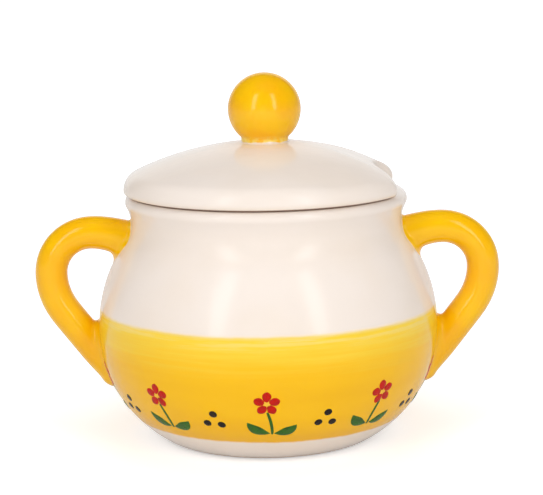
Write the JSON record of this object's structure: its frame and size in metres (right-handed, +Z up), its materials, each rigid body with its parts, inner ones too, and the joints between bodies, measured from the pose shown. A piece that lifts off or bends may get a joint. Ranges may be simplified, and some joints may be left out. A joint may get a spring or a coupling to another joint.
{
  "type": "jam pot",
  "caption": "Round-bellied glazed ceramic jam pot with a painted lower band, loop handles on opposite sides and a lift-off domed lid with a ball knob and a spoon notch.",
  "frame": {"origin": "centre of the ring that the pot stands on, at table level", "axes": "+Z up along the pot's axis, +X through the right handle and the lid's spoon notch, -Y towards the viewer of the picture"},
  "size_m": [0.148, 0.108, 0.1158],
  "materials": {
    "ivory_glaze": "glossy ivory glaze",
    "yellow_glaze": "glossy yellow glaze, brushed on by hand"
  },
  "bodies": {
    "pot": {"pot_body": "ivory_glaze", "handle_left": "yellow_glaze", "handle_right": "yellow_glaze"},
    "lid": {"lid": "ivory_glaze", "lid_knob": "yellow_glaze"}
  },
  "joints": [
    {"name": "lid_lift", "type": "slide", "parent": "pot", "child": "lid", "axis": [0, 0, 1], "range_m": [0, 0.06]}
  ]
}
